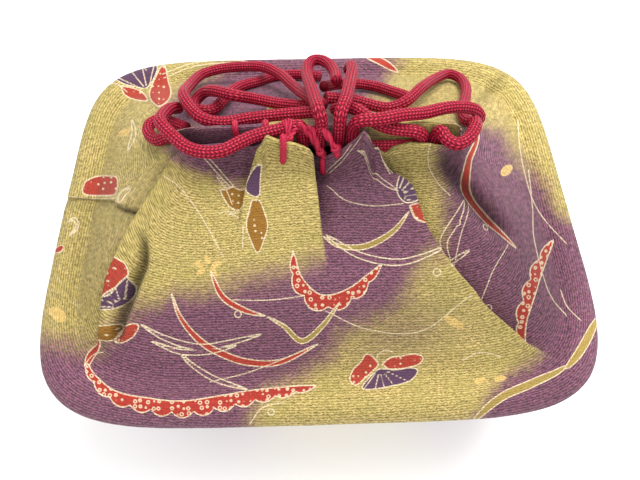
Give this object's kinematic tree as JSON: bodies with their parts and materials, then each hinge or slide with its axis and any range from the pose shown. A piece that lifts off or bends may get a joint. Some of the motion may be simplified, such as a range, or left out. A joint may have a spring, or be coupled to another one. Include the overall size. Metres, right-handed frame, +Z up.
{
  "type": "basket drawstring bag",
  "caption": "Basket drawstring bag: a padded basket hull, a soft crepe upper rising to a hemmed slit mouth, thread loops and braided drawcords.",
  "frame": {"origin": "middle of the base, on the surface that the bag stands on", "axes": "+X along the bag's longer side, to the right as seen from the front; +Y to the back; +Z up"},
  "size_m": [0.24, 0.197, 0.1404],
  "materials": {
    "crepe_olive": "crepe with fine ribs, shaded dye, soft sheen",
    "crepe_plum": "crepe with fine ribs, shaded dye, soft sheen",
    "wadding": "soft felted wadding",
    "board": "plain greyboard",
    "basket": "split bamboo",
    "lining": "smooth plain weave",
    "thread": "twisted silk thread",
    "cord": "round silk braid"
  },
  "bodies": {
    "basket": {"base_cover": "crepe_plum", "base_board": "board", "floor_padding": "wadding", "basket_wall": "basket", "wall_padding": "wadding", "hull_cover_front": "crepe_olive", "hull_cover_back": "crepe_plum", "lining_wall": "lining", "lining_floor": "lining", "upper_front": "crepe_olive", "upper_back": "crepe_plum", "upper_lining_front": "lining", "upper_lining_back": "lining"},
    "mouth": {"hem_front": "crepe_plum", "hem_back": "crepe_plum", "thread_loop_front_1": "thread", "thread_loop_front_2": "thread", "thread_loop_front_3": "thread", "thread_loop_back_1": "thread", "thread_loop_back_2": "thread", "cord_bow_left": "cord", "cord_bow_right": "cord"},
    "left_cord": {"cord_left_outer": "cord", "cord_left_inner": "cord", "cord_left_lower": "cord", "cord_left_ring": "cord"},
    "right_cord": {"cord_right_arch": "cord", "cord_right_upper": "cord", "cord_right_lower": "cord", "cord_right_curl": "cord"}
  },
  "joints": [
    {"name": "mouth_lift", "type": "slide", "parent": "basket", "child": "mouth", "axis": [0, 0, 1], "range_m": [0, 0.02], "deforming": ["upper_front", "upper_back", "upper_lining_front", "upper_lining_back"]},
    {"name": "left_cord_draw", "type": "slide", "parent": "mouth", "child": "left_cord", "axis": [-1, 0, 0], "range_m": [0, 0.006]},
    {"name": "right_cord_draw", "type": "slide", "parent": "mouth", "child": "right_cord", "axis": [1, 0, 0], "range_m": [0, 0.006]}
  ]
}
